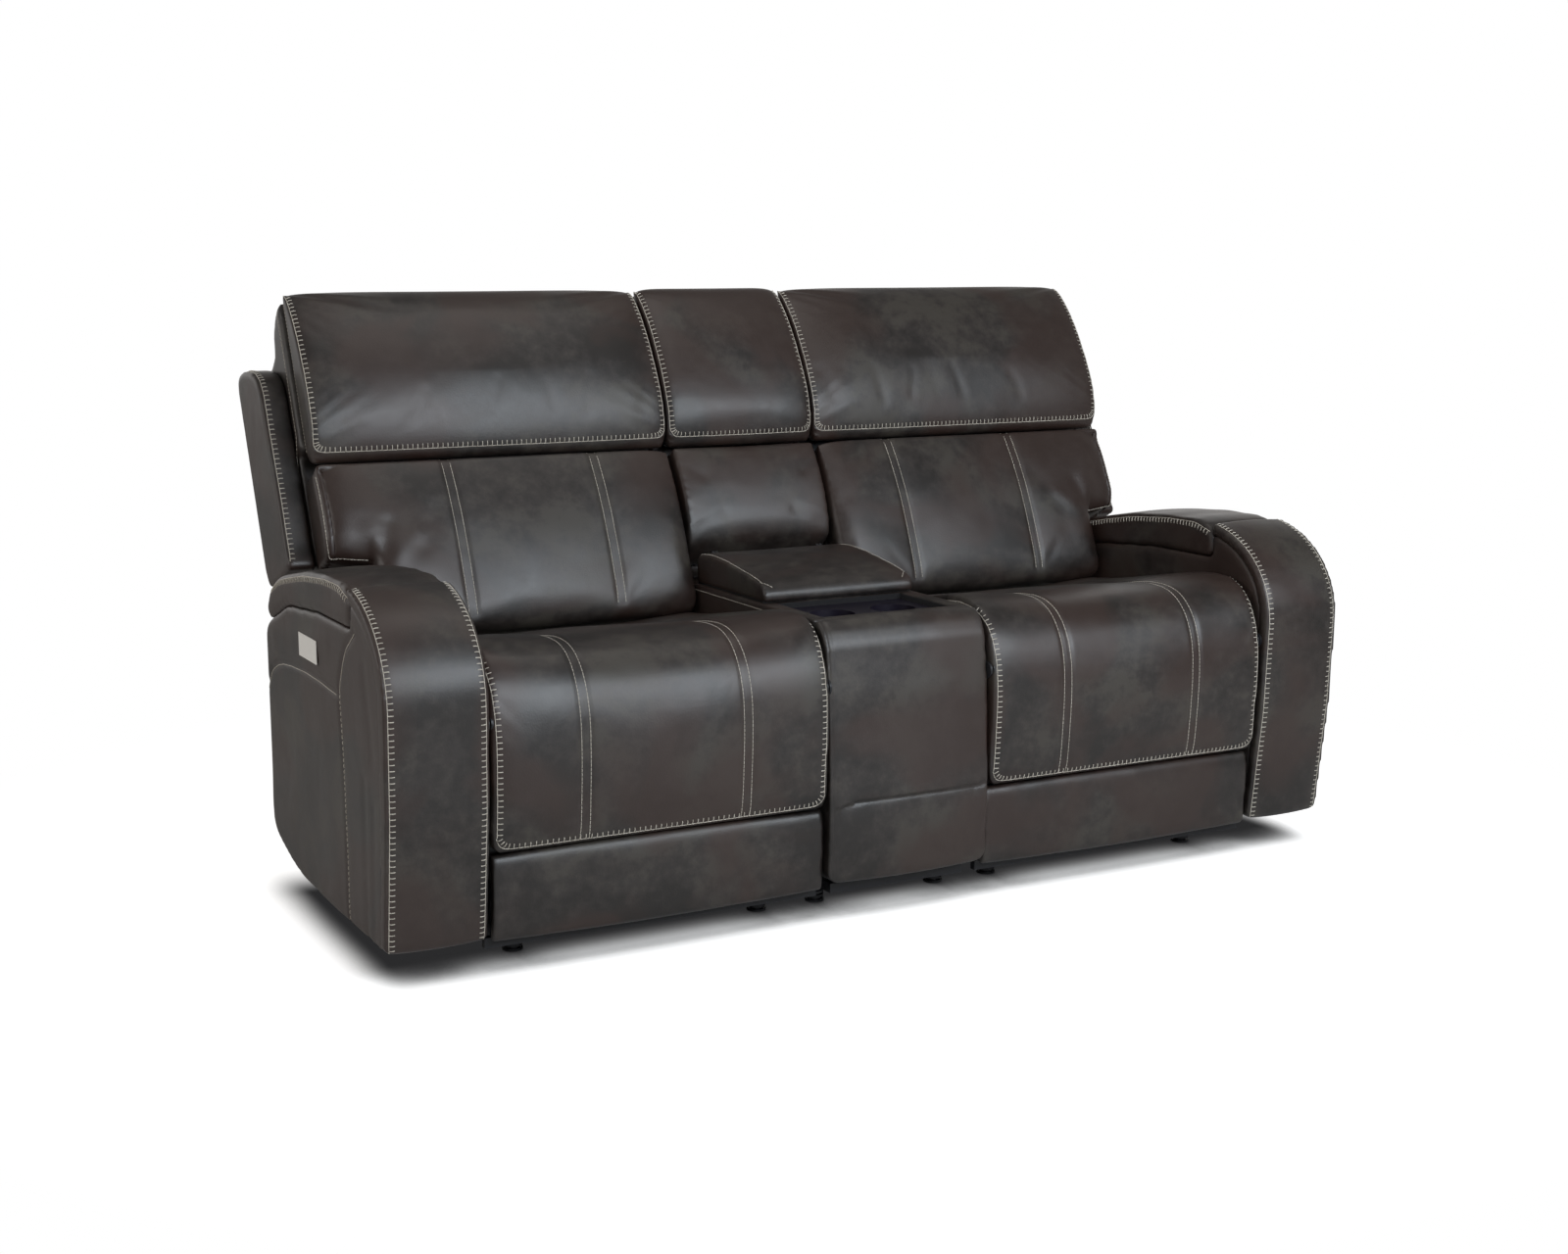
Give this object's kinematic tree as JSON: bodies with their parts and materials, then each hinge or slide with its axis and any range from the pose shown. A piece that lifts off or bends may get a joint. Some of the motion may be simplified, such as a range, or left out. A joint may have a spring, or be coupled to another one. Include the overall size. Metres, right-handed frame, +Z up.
{
  "type": "reclining sofa",
  "caption": "Console loveseat with two power seats: swing-out footrests, leaning backs, tilting headrests, cup tray and lidded storage bin.",
  "frame": {"origin": "on the floor, under the middle of the sofa's plan", "axes": "+X along the sofa towards the right seat as seen from the front, +Y to the rear, +Z up"},
  "size_m": [1.98, 1.0064, 1.1214],
  "materials": {
    "espresso_leather": "semi-gloss smooth grain, dark grey brown with pale thread",
    "black_steel": "black powder coat",
    "zinc_steel": "zinc plated",
    "plywood": "sawn plywood",
    "black_plastic": "moulded",
    "rocker_metal": "satin",
    "linen_label": "woven"
  },
  "bodies": {
    "base": {"left_arm": "espresso_leather", "right_arm": "espresso_leather", "left_arm_panel": "espresso_leather", "right_arm_panel": "espresso_leather", "left_arm_pad": "espresso_leather", "right_arm_pad": "espresso_leather", "left_seat_pad": "espresso_leather", "right_seat_pad": "espresso_leather", "left_seat_frame": "plywood", "right_seat_frame": "plywood", "seat_springs": "zinc_steel", "side_plates": "black_steel", "base_rails": "black_steel", "glides": "black_plastic", "drive_units": "black_plastic", "centre_shell": "espresso_leather", "centre_lumbar": "espresso_leather", "centre_headrest": "espresso_leather", "rear_panel": "espresso_leather", "console_box": "espresso_leather", "console_front": "espresso_leather", "console_tray": "black_plastic", "lid_hinges": "black_steel", "switch_plates": "black_plastic", "label": "linen_label"},
    "left_footrest": {"left_chaise_pad": "espresso_leather", "left_kick_panel": "espresso_leather", "left_footrest_board": "black_steel"},
    "left_drive_shaft": {"left_drive_shaft": "black_steel"},
    "left_push_links": {"left_push_links": "black_steel"},
    "left_footrest_ram": {"left_footrest_ram": "zinc_steel"},
    "left_recline_ram": {"left_recline_ram": "zinc_steel"},
    "left_back": {"left_back_frame": "black_steel", "left_lumbar": "espresso_leather", "left_back_shell": "espresso_leather", "left_bolster": "espresso_leather", "left_wing": "espresso_leather"},
    "left_headrest": {"left_headrest_board": "plywood", "left_headrest": "espresso_leather"},
    "left_footrest_rocker": {"left_footrest_rocker": "rocker_metal"},
    "left_back_rocker": {"left_back_rocker": "rocker_metal"},
    "right_footrest": {"right_chaise_pad": "espresso_leather", "right_kick_panel": "espresso_leather", "right_footrest_board": "black_steel"},
    "right_drive_shaft": {"right_drive_shaft": "black_steel"},
    "right_push_links": {"right_push_links": "black_steel"},
    "right_footrest_ram": {"right_footrest_ram": "zinc_steel"},
    "right_recline_ram": {"right_recline_ram": "zinc_steel"},
    "right_back": {"right_back_frame": "black_steel", "right_lumbar": "espresso_leather", "right_back_shell": "espresso_leather", "right_bolster": "espresso_leather", "right_wing": "espresso_leather"},
    "right_headrest": {"right_headrest_board": "plywood", "right_headrest": "espresso_leather"},
    "right_footrest_rocker": {"right_footrest_rocker": "rocker_metal"},
    "right_back_rocker": {"right_back_rocker": "rocker_metal"},
    "lid": {"lid_board": "plywood", "lid_cushion": "espresso_leather"}
  },
  "joints": [
    {"name": "left_footrest_swing", "type": "hinge", "parent": "base", "child": "left_footrest", "pos_m": [-0.49, -0.47518, 0.43], "axis": [-1, 0, 0], "range_deg": [0, 85]},
    {"name": "left_shaft_turn", "type": "hinge", "parent": "base", "child": "left_drive_shaft", "pos_m": [-0.49, -0.27518, 0.32], "axis": [-1, 0, 0], "range_deg": [0, 85]},
    {"name": "left_link_turn", "type": "hinge", "parent": "left_drive_shaft", "child": "left_push_links", "pos_m": [-0.49, -0.20318, 0.16], "axis": [-1, 0, 0], "range_deg": [-85, 0]},
    {"name": "left_footrest_ram_slide", "type": "slide", "parent": "base", "child": "left_footrest_ram", "axis": [0, -1, 0], "range_m": [0, 0.08107]},
    {"name": "left_recline", "type": "hinge", "parent": "base", "child": "left_back", "pos_m": [-0.49, 0.11682, 0.43], "axis": [-1, 0, 0], "range_deg": [0, 35]},
    {"name": "left_recline_ram_slide", "type": "slide", "parent": "base", "child": "left_recline_ram", "axis": [0, -1, 0], "range_m": [0, 0.06641]},
    {"name": "left_headrest_tilt", "type": "hinge", "parent": "left_back", "child": "left_headrest", "pos_m": [-0.49, 0.20724, 0.82978], "axis": [1, 0, 0], "range_deg": [0, 30]},
    {"name": "left_footrest_switch", "type": "hinge", "parent": "base", "child": "left_footrest_rocker", "pos_m": [-0.8075, -0.17518, 0.566], "axis": [0, 0, 1], "range_deg": [-6, 6], "stiffness_Nm_per_rad": 0.4},
    {"name": "left_back_switch", "type": "hinge", "parent": "base", "child": "left_back_rocker", "pos_m": [-0.8075, -0.13118, 0.566], "axis": [0, 0, 1], "range_deg": [-6, 6], "stiffness_Nm_per_rad": 0.4},
    {"name": "right_footrest_swing", "type": "hinge", "parent": "base", "child": "right_footrest", "pos_m": [0.49, -0.47518, 0.43], "axis": [-1, 0, 0], "range_deg": [0, 85]},
    {"name": "right_shaft_turn", "type": "hinge", "parent": "base", "child": "right_drive_shaft", "pos_m": [0.49, -0.27518, 0.32], "axis": [-1, 0, 0], "range_deg": [0, 85]},
    {"name": "right_link_turn", "type": "hinge", "parent": "right_drive_shaft", "child": "right_push_links", "pos_m": [0.49, -0.20318, 0.16], "axis": [-1, 0, 0], "range_deg": [-85, 0]},
    {"name": "right_footrest_ram_slide", "type": "slide", "parent": "base", "child": "right_footrest_ram", "axis": [0, -1, 0], "range_m": [0, 0.08107]},
    {"name": "right_recline", "type": "hinge", "parent": "base", "child": "right_back", "pos_m": [0.49, 0.11682, 0.43], "axis": [-1, 0, 0], "range_deg": [0, 35]},
    {"name": "right_recline_ram_slide", "type": "slide", "parent": "base", "child": "right_recline_ram", "axis": [0, -1, 0], "range_m": [0, 0.06641]},
    {"name": "right_headrest_tilt", "type": "hinge", "parent": "right_back", "child": "right_headrest", "pos_m": [0.49, 0.20724, 0.82978], "axis": [1, 0, 0], "range_deg": [0, 30]},
    {"name": "right_footrest_switch", "type": "hinge", "parent": "base", "child": "right_footrest_rocker", "pos_m": [0.1725, -0.06518, 0.52], "axis": [0, 0, 1], "range_deg": [-6, 6], "stiffness_Nm_per_rad": 0.4},
    {"name": "right_back_switch", "type": "hinge", "parent": "base", "child": "right_back_rocker", "pos_m": [0.1725, -0.02118, 0.52], "axis": [0, 0, 1], "range_deg": [-6, 6], "stiffness_Nm_per_rad": 0.4},
    {"name": "lid_swing", "type": "hinge", "parent": "base", "child": "lid", "pos_m": [0, 0.07682, 0.596], "axis": [-1, 0, 0], "range_deg": [0, 85]}
  ],
  "couplings": [
    {"joint": "left_shaft_turn", "follows": "left_footrest_swing", "ratio": 1},
    {"joint": "left_link_turn", "follows": "left_footrest_swing", "ratio": -1},
    {"joint": "left_footrest_ram_slide", "follows": "left_footrest_swing", "m_per_rad": 0.054647},
    {"joint": "left_recline_ram_slide", "follows": "left_recline", "m_per_rad": 0.10872},
    {"joint": "right_shaft_turn", "follows": "right_footrest_swing", "ratio": 1},
    {"joint": "right_link_turn", "follows": "right_footrest_swing", "ratio": -1},
    {"joint": "right_footrest_ram_slide", "follows": "right_footrest_swing", "m_per_rad": 0.054647},
    {"joint": "right_recline_ram_slide", "follows": "right_recline", "m_per_rad": 0.10872}
  ]
}
